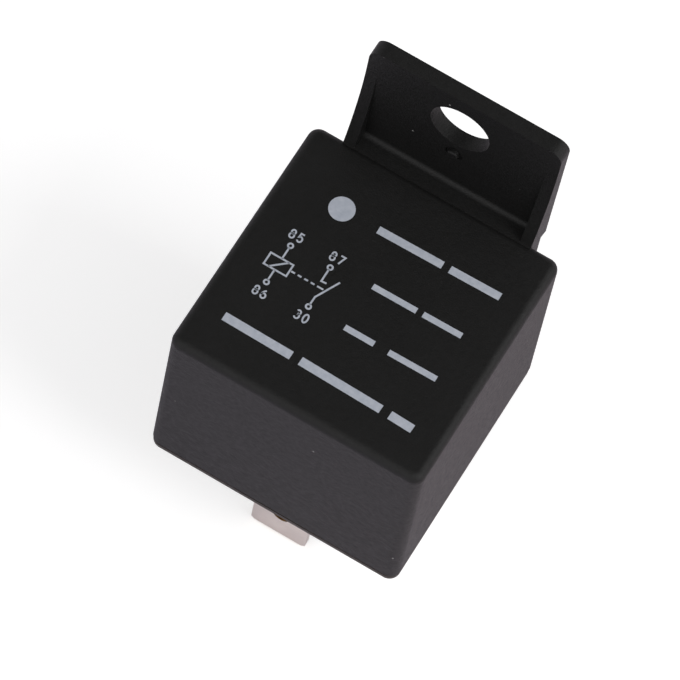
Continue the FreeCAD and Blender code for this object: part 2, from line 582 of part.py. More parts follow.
def make_base():
    body = new_body("base")
    flange = f"({RIM_SIDE} - 2 * flange_inset)"
    pad(body, draw(body, "flange", "XY_Plane", square(flange)), "flange_thickness")
    fillet(body, "flange_corners", "corner_round", lambda edge: reach_along(edge, "z") > TOUCH)
    fillet(body, "flange_edge", "flange_round", lambda edge: lies_at(edge, "z", 0))
    pad(body, draw(body, "plug", "XY_Plane", square(PLUG_SIDE)), "base_thickness")
    plug_half, top = size_of(PLUG_SIDE) / 2, size_of("base_thickness")
    fillet(body, "plug_corners", "inner_round + base_fit", lambda edge: is_line_along(edge, "z")
           and same(abs(middle_of(edge).x), plug_half) and same(abs(middle_of(edge).y), plug_half))

    inside = f"({PLUG_SIDE} / 2 - snap_reach)"
    wedge_tip, crest = f"({PLUG_SIDE} / 2 + snap_reach)", f"{SNAP_LEVEL} + snap_rise"
    wedge = [(inside, SNAP_LEVEL), (wedge_tip, SNAP_LEVEL), (f"{PLUG_SIDE} / 2", crest), (inside, crest)]
    snaps = [pad(body, draw(body, name, "XZ_Plane", wedge, shift=shift), "snap_length", both=True)
             for name, shift in (("snap_front", "snap_offset"), ("snap_back", "-snap_offset"))]
    mirror(body, *snaps)

    pads = draw(body, "yoke_pad", "XY_Plane",
                block(f"{YOKE_WIDTH} / 2 - pad_width", f"-{YOKE_FRONT}", f"{YOKE_WIDTH} / 2",
                      f"-{YOKE_FRONT} + pad_width"),
                shift="base_thickness")
    mirror(body, pad(body, pads, "blade_thickness"))

    blade_back = f"{BACK_BLADE} + blade_width / 2 + slot_gap"
    slots = draw(body, "slots", "XY_Plane",
                 blade_slot("0", f"-{FRONT_BLADE}", "blade_width", "blade_thickness"),
                 blade_slot("0", BACK_BLADE, "blade_thickness", "blade_width"),
                 blade_slot(SIDE_BLADE, "-side_blade_shift", "blade_thickness", "blade_width"),
                 blade_slot(f"-{SIDE_BLADE}", "-side_blade_shift", "blade_thickness", "blade_width"))
    pocket(body, slots, back=True)
    relief = draw(body, "bend_relief", "XY_Plane",
                  block("0", f"{BACK_BLADE} - blade_width / 2 - slot_gap",
                        "blade_thickness / 2 + sheet_bend + slot_gap", blade_back), shift="base_thickness")
    pocket(body, relief, "sheet_bend + slot_gap")
    socket = blade_slot(f"({STOP_SIDE} + stop_width / 2)", f"-{FRONT_BLADE}", "stop_width", "blade_thickness")
    post = draw(body, "stop_socket", "XY_Plane", socket, shift="base_thickness")
    pocket(body, post, "base_thickness - stop_floor")
    head = draw(body, "rivet_room", "XY_Plane",
                Circle(("rivet_30_offset", f"{BACK_BLADE} - rivet_30_shift"), "rivet_30_head + slot_gap"),
                shift="base_thickness")
    pocket(body, head, "rivet_30_rise + slot_gap")
    spare = draw(body, "spare_slot", "XY_Plane",
                 blade_slot("0", "-spare_slot_shift", "blade_width", "blade_thickness"))
    pocket(body, spare, "spare_slot_depth", back=True)

    edge = f"({PLUG_SIDE} / 2 - recess_margin)"
    beside_slot = "blade_width / 2 + slot_gap + recess_wall"
    spans = [(f"-({FRONT_BLADE} - blade_thickness / 2 - slot_gap - recess_wall)",
              f"-side_blade_shift - {beside_slot}"), (f"-side_blade_shift + {beside_slot}", edge)]
    recesses = [block(f"({edge} - recess_width)", low, edge, high) for low, high in spans]
    mirror(body, pocket(body, draw(body, "recesses", "XY_Plane", *recesses), "recess_depth", back=True))
    return body


# Blades

def finish_tip(body, wide):
    """Cut the corners of a blade's tip and thin its end. The blade is wide along the given axis."""
    thin = "y" if wide == "x" else "x"
    tip = size_of("-blade_length")
    for name, size, along in (("tip_corners", "tip_chamfer", thin), ("tip_end", "tip_bevel", wide)):
        chamfer(body, name, size, lambda edge: is_line_along(edge, along) and lies_at(edge, "z", tip))


def cut_detent(body, plane):
    """The round hole near a blade's tip, where a receptacle's dimple snaps in."""
    detent = draw(body, "detent", plane, Circle(("0", "blade_hole_rise - blade_length"), "blade_hole / 2"))
    pocket(body, detent, both=True)


def make_side_blade(name, across):
    """Blade 85 or 86: a flat blank with shoulders on the base and a tang for the coil's lead."""
    body = new_body(name)
    half, shoulder, tang = "blade_width / 2", "shoulder_width / 2", "tang_width / 2"
    ledge = "base_thickness + shoulder_rise"
    crest = "base_thickness + tang_rise"
    blank = draw(body, "blank", "YZ_Plane", [
        (f"-{half}", "-blade_length"), (half, "-blade_length"), (half, "base_thickness"),
        (shoulder, "base_thickness"), (shoulder, ledge), (tang, ledge), (tang, crest), (f"-{tang}", crest),
        (f"-{tang}", ledge), (f"-{shoulder}", ledge), (f"-{shoulder}", "base_thickness"),
        (f"-{half}", "base_thickness")])
    pad(body, blank, "blade_thickness", both=True)
    cut_detent(body, "YZ_Plane")
    finish_tip(body, "y")
    place(body, across=across, back="-side_blade_shift")
    return body


def make_terminal_87():
    """Blade 87: bent over at its top to carry the fixed contact."""
    body = new_body("terminal_87")
    bend, outer = "sheet_bend", "(sheet_bend + blade_thickness)"
    back, front = "blade_thickness / 2", "-blade_thickness / 2"
    turn = f"({ARM_87_TOP} - {outer})"
    side_view = draw(body, "side_view", "YZ_Plane", [
        (front, "-blade_length"), (back, "-blade_length"), (back, turn), Bend(bend, -1),
        (f"{back} + {bend}", f"{ARM_87_TOP} - blade_thickness"),
        (ARM_87_REACH, f"{ARM_87_TOP} - blade_thickness"), (ARM_87_REACH, ARM_87_TOP),
        (f"{back} + {bend}", ARM_87_TOP), Bend(outer, 1), (front, turn)])
    pad(body, side_view, "blade_width", both=True)
    shoulders = draw(body, "shoulders", "XZ_Plane",
                     middle_block("shoulder_width", "base_thickness", "base_thickness + shoulder_rise"))
    pad(body, shoulders, "blade_thickness", both=True)
    end = size_of(ARM_87_REACH)
    fillet(body, "arm_corners", "arm_87_round", lambda edge: is_line_along(edge, "z")
           and lies_at(edge, "y", end))
    seat = draw(body, "contact_seat", "XY_Plane",
                Circle(("0", "contact_setback"), "contact_shank"), shift=ARM_87_TOP)
    pocket(body, seat)
    cut_detent(body, "XZ_Plane")
    finish_tip(body, "x")
    place(body, back=f"-{FRONT_BLADE}")
    return body


def make_terminal_30():
    """Blade 30: folded over on the base and riveted under the yoke's foot."""
    body = new_body("terminal_30")
    bend, outer = "sheet_bend", "(sheet_bend + blade_thickness)"
    right, left = "blade_thickness / 2", "-blade_thickness / 2"
    top, reach = YOKE_FOOT, f"({BRAID_FOOT} + foot_30_margin)"
    end_view = draw(body, "end_view", "XZ_Plane", [
        (left, "-blade_length"), (right, "-blade_length"), (right, f"base_thickness - {bend}"),
        Bend(bend, -1), (f"{right} + {bend}", "base_thickness"), (reach, "base_thickness"), (reach, top),
        (f"{right} + {bend}", top), Bend(outer, 1), (left, f"{top} - {outer}")])
    pad(body, end_view, "blade_width", both=True)
    spot = ("rivet_30_offset", "-rivet_30_shift")
    rivet = draw(body, "rivet_hole", "XY_Plane", Circle(spot, "rivet_30_radius"), shift=top)
    pocket(body, rivet)
    cut_detent(body, "YZ_Plane")
    finish_tip(body, "y")
    place(body, back=BACK_BLADE)
    return body


# Coil

def make_bobbin():
    body = new_body("coil_bobbin")
    bore, barrel = "(core_radius + bore_gap)", "(core_radius + bore_gap + barrel_wall)"
    rim = "coil_flange_radius"
    revolve(body, draw(body, "profile", "XZ_Plane", [
        (bore, "0"), (rim, "0"), (rim, "coil_flange"), (barrel, "coil_flange"),
        (barrel, f"{COIL_LENGTH} - coil_flange"), (rim, f"{COIL_LENGTH} - coil_flange"), (rim, COIL_LENGTH),
        (bore, COIL_LENGTH)]))
    reach = f"({SIDE_BLADE} - blade_thickness / 2 - lug_gap)"
    lug_place = "(-side_blade_shift - coil_shift)"
    lug = draw(body, "lug", "XY_Plane",
               block(f"{WINDING_RADIUS} + tape_thickness", f"{lug_place} - lug_width / 2",
                     reach, f"{lug_place} + lug_width / 2"))
    lugs = pad(body, lug, "lug_rise")
    mirror(body, lugs)
    groove = draw(body, "lead_groove", "YZ_Plane",
                  block(f"{lug_place} - 2 * lead_radius", "lug_rise - 2 * lead_radius",
                        f"{lug_place} + 2 * lead_radius", "lug_rise + lead_radius"),
                  shift=WINDING_RADIUS)
    mirror(body, pocket(body, groove, f"{reach} - {WINDING_RADIUS} + lead_radius", back=True))
    place(body, back="coil_shift", up=COIL_FOOT)
    return body


def make_winding():
    body = new_body("coil_winding")
    inner = "(core_radius + bore_gap + barrel_wall)"
    revolve(body, draw(body, "profile", "XZ_Plane",
                       block(inner, "coil_flange", WINDING_RADIUS, f"{COIL_LENGTH} - coil_flange")))
    place(body, back="coil_shift", up=COIL_FOOT)
    return body


def make_tape():
    """A sleeve of tape round the winding."""
    body = new_body("winding_tape")
    low, high = "coil_flange + tape_margin", f"{COIL_LENGTH} - coil_flange - tape_margin"
    outer = f"({WINDING_RADIUS} + tape_thickness)"
    revolve(body, draw(body, "profile", "XZ_Plane", block(WINDING_RADIUS, low, outer, high)))
    place(body, back="coil_shift", up=COIL_FOOT)
    return body


def make_core():
    """Shank with a pole disc on top and a riveted end under the yoke's foot."""
    body = new_body("iron_core")
    head, shank_top = f"({CORE_SPIGOT} + core_head_lip)", f"(yoke_thickness + {COIL_LENGTH})"
    revolve(body, draw(body, "profile", "XZ_Plane", [
        ("0", "-core_head_rise"), (head, "-core_head_rise"), (head, "0"), (CORE_SPIGOT, "0"),
        (CORE_SPIGOT, "yoke_thickness"), ("core_radius", "yoke_thickness"), ("core_radius", shank_top),
        ("pole_radius", shank_top), ("pole_radius", f"{shank_top} + pole_thickness"),
        ("0", f"{shank_top} + pole_thickness")]))
    place(body, back="coil_shift", up=YOKE_FOOT)
    return body


def make_lead(name, side):
    """The end of the winding, led over the bobbin's lug to the tang of its blade."""
    level = size_of(f"{COIL_FOOT} + lug_rise - lead_radius")
    start = size_of(WINDING_RADIUS)
    tang = size_of(f"{SIDE_BLADE} - blade_thickness / 2 - lead_radius")
    back = size_of("-side_blade_shift")
    crest = size_of("base_thickness + tang_rise - 2 * lead_radius")
    across = [(start, level), (tang, level), (tang, crest)]
    points = [Vector(side * x, back, z) for x, z in across]
    lead = doc.addObject("Part::Feature", name)
    lead.Label = name
    lead.Shape = tube(rounded_path(points, size_of("lead_bend")), size_of("lead_radius"))
    return lead


# Yoke and backstop

def make_yoke():
    """An L of soft iron: foot under the coil, upright with two ears behind it, and a lanced spring lug."""
    body = new_body("yoke")
    back, front = YOKE_BACK, f"({YOKE_BACK} - yoke_thickness)"
    turn, inner = f"({YOKE_FOOT} + yoke_bend)", "(yoke_bend - yoke_thickness)"
    top = f"({POLE_LEVEL} + ear_rise)"
    side_view = draw(body, "side_view", "YZ_Plane", [
        (f"-{YOKE_FRONT}", YOKE_FOOT), (f"{back} - yoke_bend", YOKE_FOOT), Bend("yoke_bend", 1),
        (back, turn), (back, top), (front, top), (front, turn), Bend(inner, -1),
        (f"{back} - yoke_bend", COIL_FOOT),
        (f"-{YOKE_FRONT}", COIL_FOOT)])
    pad(body, side_view, YOKE_WIDTH, both=True)
    notch = draw(body, "notch", "XZ_Plane",
                 middle_block(f"({YOKE_WIDTH} - 2 * ear_width)", POLE_LEVEL, f"{top} + ear_rise"))
    pocket(body, notch)
    window = draw(body, "lug_window", "XZ_Plane",
                  middle_block("spring_lug_width", LUG_TOP, f"{LUG_TOP} + spring_lug_reach"))
    pocket(body, window)
    lug = draw(body, "lug", "XY_Plane",
               middle_block("spring_lug_width", front, f"{back} + spring_lug_reach"), shift=LUG_FOOT)
    pad(body, lug, "spring_lug_thickness")
    rivet_spot = ("rivet_30_offset", f"{BACK_BLADE} - rivet_30_shift")
    holes = draw(body, "holes", "XY_Plane", Circle(("0", "coil_shift"), CORE_SPIGOT),
                 Circle(rivet_spot, "rivet_30_radius"), shift=COIL_FOOT)
    pocket(body, holes)
    level, spot = size_of(COIL_FOOT), size_of("rivet_30_offset")
    chamfer(body, "countersink", "rivet_30_head - rivet_30_radius", lambda edge: lies_at(edge, "z", level)
            and len(edge.Vertexes) == 1 and same(middle_of(edge).x, spot))
    return body


def make_backstop():
    """A stamped post in the base whose bar stops the contact arm's tip at rest."""
    body = new_body("backstop")
    post_right = f"({STOP_SIDE} + stop_width)"
    front_view = draw(body, "front_view", "XZ_Plane", [
        (STOP_SIDE, "stop_floor"), (post_right, "stop_floor"), (post_right, f"{STOP_LEVEL} + stop_bar"),
        ("-stop_overhang", f"{STOP_LEVEL} + stop_bar"), ("-stop_overhang", STOP_LEVEL),
        (STOP_SIDE, STOP_LEVEL)])
    pad(body, front_view, "blade_thickness", both=True)
    corner = size_of(post_right)
    fillet(body, "shoulder", "stop_bar", lambda edge: is_line_along(edge, "y") and lies_at(edge, "x", corner)
           and middle_of(edge).z > size_of(STOP_LEVEL))
    place(body, back=f"-{FRONT_BLADE}")
    return body


# Armature group, each piece drawn from the hinge line

def make_armature():
    body = new_body("armature")
    neck, main, tail = f"({YOKE_WIDTH} / 2 - ear_width - neck_gap)", "armature_width / 2", "tail_width / 2"
    neck_front = "-(yoke_thickness + neck_gap)"
    front, corner = f"-{ARMATURE_REACH}", "armature_corner"
    plan = draw(body, "plan", "XY_Plane", [
        (f"-{main}", neck_front), (f"-{main}", f"{front} + {corner}"), (f"-{main} + {corner}", front),
        (f"{main} - {corner}", front), (main, f"{front} + {corner}"), (main, neck_front), (neck, neck_front),
        (neck, "neck_gap"), (tail, "neck_gap"), (tail, TAIL_REACH), (f"-{tail}", TAIL_REACH),
        (f"-{tail}", "neck_gap"), (f"-{neck}", "neck_gap"), (f"-{neck}", neck_front)])
    pad(body, plan, "armature_thickness")
    holes = [Circle((f"{side} * rivet_spacing / 2", f"-{RIVET_SHIFT}"), "rivet_radius") for side in (-1, 1)]
    pocket(body, draw(body, "rivet_holes", "XY_Plane", *holes), back=True)
    hang_on_hinge(body)
    return body


def make_contact_arm():
    """A leaf of spring copper that lies on the armature and steps down in front of it."""
    body = new_body("contact_arm")
    upper, thick = "armature_thickness", "arm_thickness"
    start, end, front = f"-{JOGGLE_START}", f"-{JOGGLE_END}", f"-{ARM_REACH}"
    side_view = draw(body, "side_view", "YZ_Plane", [
        ("-arm_back", upper), ("-arm_back", f"{upper} + {thick}"), (start, f"{upper} + {thick}"),
        (end, f"{ARM_TIP} + {thick}"), (front, f"{ARM_TIP} + {thick}"), (front, ARM_TIP),
        (end, ARM_TIP), (start, upper)])
    pad(body, side_view, "arm_width", both=True)
    tip = size_of(front)
    fillet(body, "tip", "arm_tip_round", lambda edge: is_line_along(edge, "z") and lies_at(edge, "y", tip))
    holes = [Circle((f"{side} * rivet_spacing / 2", f"-{RIVET_SHIFT}"), "rivet_radius") for side in (-1, 1)]
    holes.append(Circle(("0", f"-{CONTACT_SHIFT}"), "contact_shank"))
    pocket(body, draw(body, "rivet_holes", "XY_Plane", *holes), back=True)
    hang_on_hinge(body)
    return body


def make_arm_rivet(name, side):
    """A rivet through armature and arm: flush below, headed above."""
    body = new_body(name)
    upper = "armature_thickness + arm_thickness"
    spot = (f"{side} * rivet_spacing / 2", f"-{RIVET_SHIFT}")
    shank = draw(body, "shank", "XY_Plane", Circle(spot, "rivet_radius"))
    pad(body, shank, f"{upper} + rivet_rise")
    head = draw(body, "head", "XY_Plane", Circle(spot, "rivet_head"), shift=upper)
    pad(body, head, "rivet_rise")
    crest = size_of(f"{upper} + rivet_rise")
    fillet(body, "head_edge", "rivet_round", lambda edge: lies_at(edge, "z", crest))
    hang_on_hinge(body)
    return body


# Contacts and small joining pieces

def make_moving_contact():
    """A silver button under the arm's tip, with a slightly crowned face, riveted over above."""
    body = new_body("moving_contact")
    low = f"({ARM_TIP} - contact_height)"
    crown = "((contact_radius ^ 2 + contact_crown ^ 2) / (2 * contact_crown))"
    upper = f"({ARM_TIP} + arm_thickness)"
    revolve(body, draw(body, "profile", "XZ_Plane", [
        ("0", low), Bend(crown, 1), ("contact_radius", f"{low} + contact_crown"),
        ("contact_radius", ARM_TIP), ("contact_shank", ARM_TIP), ("contact_shank", upper),
        ("contact_upset", upper),
        ("contact_upset", f"{upper} + contact_upset_rise"), ("0", f"{upper} + contact_upset_rise")]))
    body.Placement = Placement(Vector(), Rotation(Vector(-1, 0, 0), 1))
    place(body, back=f"{YOKE_BACK} - {CONTACT_SHIFT} * cos(open_angle)",
          up=f"{HINGE_LEVEL} + {CONTACT_SHIFT} * sin(open_angle)")
    body.setExpression("Placement.Rotation.Angle", tie("open_angle"))
    return body


def make_fixed_contact():
    """A flat silver button on the arm of blade 87, riveted over below."""
    body = new_body("fixed_contact")
    foot = "-(blade_thickness + contact_upset_rise)"
    revolve(body, draw(body, "profile", "XZ_Plane", [
        ("0", foot), ("contact_upset", foot), ("contact_upset", "-blade_thickness"),
        ("contact_shank", "-blade_thickness"), ("contact_shank", "0"),
        ("contact_radius", "0"), ("contact_radius", "contact_height"), ("0", "contact_height")]))
    crest = size_of("contact_height")
    fillet(body, "face_edge", "contact_crown", lambda edge: lies_at(edge, "z", crest)
           and len(edge.Vertexes) == 1)
    place(body, back=f"{YOKE_BACK} - {CONTACT_SHIFT}", up=ARM_87_TOP)
    return body


def make_yoke_rivet():
    """The rivet through blade 30's foot and the yoke: countersunk above, headed below."""
    body = new_body("yoke_rivet")
    sink = "(rivet_30_head - rivet_30_radius)"
    top = "(blade_thickness + yoke_thickness)"
    revolve(body, draw(body, "profile", "XZ_Plane", [
        ("0", "-rivet_30_rise"), ("rivet_30_head", "-rivet_30_rise"), ("rivet_30_head", "0"),
        ("rivet_30_radius", "0"), ("rivet_30_radius", f"{top} - {sink}"), ("rivet_30_head", top),
        ("0", top)]))
    place(body, across="rivet_30_offset", back=f"{BACK_BLADE} - rivet_30_shift", up="base_thickness")
    return body


# Wire shapes

def rounded_path(points, radius):
    """Straight runs joined by tangent arcs, as one wire."""
    edges, start = [], points[0]
    for before, corner, after in zip(points, points[1:], points[2:]):
        inward, outward = (corner - before).normalize(), (after - corner).normalize()
        turn = inward.getAngle(outward)
        setback = radius * math.tan(turn / 2)
        entry, leave = corner - inward * setback, corner + outward * setback
        aim = (outward - inward).normalize()
        middle = corner + aim * radius * (1 / math.cos(turn / 2) - 1)
        edges.append(Part.LineSegment(start, entry).toShape())
        edges.append(Part.Arc(entry, middle, leave).toShape())
        start = leave
    edges.append(Part.LineSegment(start, points[-1]).toShape())
    return Part.Wire(edges)


def tube(path, radius, flats=0):
    """A wire along a path. A thin and long one may have a few flats in place of a round section."""
    first = path.Edges[0]
    ring = Part.makeCircle(radius, first.Vertexes[0].Point, first.tangentAt(first.FirstParameter))
    section = Part.makePolygon(ring.discretize(flats + 1)) if flats else Part.Wire(ring)
    return path.makePipeShell([section], True, False)


def spring_path():
    """The return spring's centre line: lower hook, coils of half turns, upper hook."""
    radius, wire, bend = size_of("spring_radius"), size_of("spring_wire"), size_of("spring_bend")
    low_plate, high_plate = size_of(LUG_FOOT), size_of(
        f"{HINGE_LEVEL} + armature_thickness * cos(open_angle) - {TAIL_REACH} / 2 * sin(open_angle)")
    low = low_plate - wire - size_of("hook_gap")
    high = high_plate + wire + size_of("hook_gap")
    coil_low = size_of(f"{LUG_TOP} + spring_clear + spring_wire")
    coil_high = size_of(f"{HINGE_LEVEL} - {TAIL_REACH} * sin(open_angle) - spring_clear - spring_wire")
    turns = int(size_of("spring_turns"))
    rise = (coil_high - coil_low) / (2 * turns)
    reach = size_of("hook_reach")
    slant = bend * math.cos(math.pi / 4)

    def line(start, end):
        return Part.LineSegment(Vector(*start), Vector(*end)).toShape()

    def arc(start, middle, end):
        return Part.Arc(Vector(*start), Vector(*middle), Vector(*end)).toShape()

    edges = [line((-bend, radius - reach, low), (-bend, radius - bend, low)),
             arc((-bend, radius - bend, low), (-bend, radius - bend + slant, low + bend - slant),
                 (-bend, radius, low + bend)),
             line((-bend, radius, low + bend), (-bend, radius, coil_low - bend)),
             arc((-bend, radius, coil_low - bend), (-slant, radius, coil_low - bend + slant),
                 (0, radius, coil_low))]
    for half_turn in range(2 * turns):
        side = 1 if half_turn % 2 == 0 else -1
        start_level = coil_low + half_turn * rise
        bow = math.hypot(radius, rise / 2)
        edges.append(arc((0, side * radius, start_level), (side * bow, 0, start_level + rise / 2),
                         (0, -side * radius, start_level + rise)))
    edges += [arc((0, radius, coil_high), (bend - slant, radius, coil_high + slant),
                  (bend, radius, coil_high + bend)),
              line((bend, radius, coil_high + bend), (bend, radius, high - bend)),
              arc((bend, radius, high - bend), (bend, radius - bend + slant, high - bend + slant),
                  (bend, radius - bend, high)),
              line((bend, radius - bend, high), (bend, radius - reach, high))]
    return Part.Wire(edges)


def make_return_spring():
    spring = doc.addObject("Part::Feature", "return_spring")
    spring.Label = "return_spring"
    spring.Shape = tube(spring_path(), size_of("spring_wire"), FLAT_COUNT)
    place(spring, back=SPRING_AXIS)
    return spring


def make_braid():
    """The flexible lead from the contact arm, down beside the coil, to the foot of blade 30."""
    radius, side = size_of("braid_radius"), size_of(f"{SIDE_BLADE} + braid_spread")
    start = size_of(f"{YOKE_BACK} - {BRAID_SHIFT}")
    arm_level = radius + size_of(
        f"{HINGE_LEVEL} + (armature_thickness + arm_thickness) * cos(open_angle)"
        f" + ({BRAID_SHIFT} + braid_radius) * sin(open_angle) + braid_gap")
    foot = Vector(size_of(BRAID_FOOT), size_of(BACK_BLADE), size_of(YOKE_FOOT))
    knee = foot + Vector(0, 0, 2 * size_of("braid_bend"))
    halfway = Vector(side, (start + foot.y) / 2, (knee.z + arm_level) / 2)
    points = [Vector(size_of("-arm_width / 2"), start, arm_level), Vector(side, start, arm_level),
              halfway, knee, foot]
    braid = doc.addObject("Part::Feature", "copper_braid")
    braid.Label = "copper_braid"
    braid.Shape = tube(rounded_path(points, size_of("braid_bend")), radius)
    return braid


def check_document():
    """Stop on any object that failed, which a recompute doesn't report by itself."""
    doc.recompute()
    for item in doc.Objects:
        if "Invalid" in item.State or "Error" in item.State:
            raise RuntimeError(f"{item.Name} is {item.State}")


def write_pieces(pieces):
    os.makedirs("parts", exist_ok=True)
    for piece in pieces:
        if piece.Shape.isNull() or not piece.Shape.isValid() or not piece.Shape.Solids:
            raise RuntimeError(f"{piece.Label} has no valid shape")
    for piece in pieces:
        piece.Shape.exportStep(f"parts/{piece.Label}.step")
        print(f"{piece.Label}: {len(piece.Shape.Solids)} solid, {piece.Shape.Volume:.1f} cubic mm")


PIECES = [
    make_cover(), make_base(),
    make_terminal_30(), make_terminal_87(),
    make_side_blade("terminal_85", f"-{SIDE_BLADE}"), make_side_blade("terminal_86", SIDE_BLADE),
    make_yoke(), make_core(), make_bobbin(), make_winding(), make_tape(),
    make_lead("coil_lead_85", -1), make_lead("coil_lead_86", 1),
    make_armature(), make_contact_arm(),
    make_arm_rivet("arm_rivet_left", -1), make_arm_rivet("arm_rivet_right", 1),
    make_moving_contact(), make_fixed_contact(), make_backstop(), make_yoke_rivet(),
    make_return_spring(), make_braid(),
]
check_document()
write_pieces(PIECES)
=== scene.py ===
import json
import math

import bmesh
import bpy
from mathutils import Matrix, Vector


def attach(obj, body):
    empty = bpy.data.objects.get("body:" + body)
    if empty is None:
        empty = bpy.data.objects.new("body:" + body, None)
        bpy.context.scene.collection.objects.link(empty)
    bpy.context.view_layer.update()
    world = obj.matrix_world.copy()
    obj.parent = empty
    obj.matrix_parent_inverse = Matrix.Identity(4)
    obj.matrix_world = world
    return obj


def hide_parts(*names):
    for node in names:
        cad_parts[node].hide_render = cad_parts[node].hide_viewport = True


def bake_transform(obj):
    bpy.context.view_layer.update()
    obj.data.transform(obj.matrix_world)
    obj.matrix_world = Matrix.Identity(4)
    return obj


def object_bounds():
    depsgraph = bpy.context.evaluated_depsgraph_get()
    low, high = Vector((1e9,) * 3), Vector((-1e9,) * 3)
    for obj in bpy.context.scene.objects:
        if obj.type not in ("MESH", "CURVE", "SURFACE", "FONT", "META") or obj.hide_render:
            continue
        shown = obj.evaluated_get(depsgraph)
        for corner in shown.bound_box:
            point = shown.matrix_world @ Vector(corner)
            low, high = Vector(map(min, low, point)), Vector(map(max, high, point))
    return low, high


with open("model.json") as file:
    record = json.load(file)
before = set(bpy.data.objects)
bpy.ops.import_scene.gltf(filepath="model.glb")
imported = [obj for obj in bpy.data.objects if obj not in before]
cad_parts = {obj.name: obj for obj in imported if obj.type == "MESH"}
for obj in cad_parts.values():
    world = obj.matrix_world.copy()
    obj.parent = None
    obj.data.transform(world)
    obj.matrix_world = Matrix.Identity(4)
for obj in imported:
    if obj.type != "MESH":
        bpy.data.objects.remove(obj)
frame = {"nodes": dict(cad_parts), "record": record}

# Automotive relay: finishes, unbent copies of the spring and braid, print on the cover, floor, light and
# camera

# Lengths are in millimetres and angles in degrees, unless a comment says otherwise. The scene is in metres.

MM = 0.001
CAD_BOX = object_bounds()
HOUSING = "housing"
SLOTS = {part["node"]: part["material_slot"] for part in frame["record"]["subparts"]}

# Camera, fitted to the photograph's edges and corners. Right and down are directions in the frame.
PHOTO_SIDE_PX = 680
FOCAL_LENGTH_PX = 5711.5
CAMERA_PLACE = (73.84, -229.69, 519.13)
CAMERA_RIGHT = Vector((0.85962, 0.50123, 0.09911))
CAMERA_DOWN = Vector((0.49283, -0.76226, -0.4196))
SENSOR_WIDTH = 36.0
CLIP_START = 10.0
CLIP_END = 20000.0


def make_camera():
    """The photograph's view. The focal length in pixels is turned into one for the sensor's width."""
    data = bpy.data.cameras.new("photo_camera")
    data.sensor_width = SENSOR_WIDTH
    data.lens = FOCAL_LENGTH_PX / PHOTO_SIDE_PX * SENSOR_WIDTH
    data.clip_start = CLIP_START * MM
    data.clip_end = CLIP_END * MM
    camera = bpy.data.objects.new("photo_camera", data)
    right = CAMERA_RIGHT.normalized()
    up = (-CAMERA_DOWN).normalized()
    back = right.cross(up).normalized()
    up = back.cross(right)
    turn = Matrix((right, up, back)).transposed()
    camera.matrix_world = Matrix.Translation(Vector(CAMERA_PLACE) * MM) @ turn.to_4x4()
    bpy.context.collection.objects.link(camera)
    bpy.context.scene.camera = camera


# Materials

# Noise values between which a cloudy colour or roughness drifts from its first to its second value
CLOUD_LOW = 0.3
CLOUD_HIGH = 0.7

# A face counts as level if its normal's Z is beyond this
LEVEL_FACE = 0.5

# Sockets of a Mix node in its colour mode
MIX_FACTOR = 0
MIX_ONE = 6
MIX_OTHER = 7
MIX_RESULT = 2


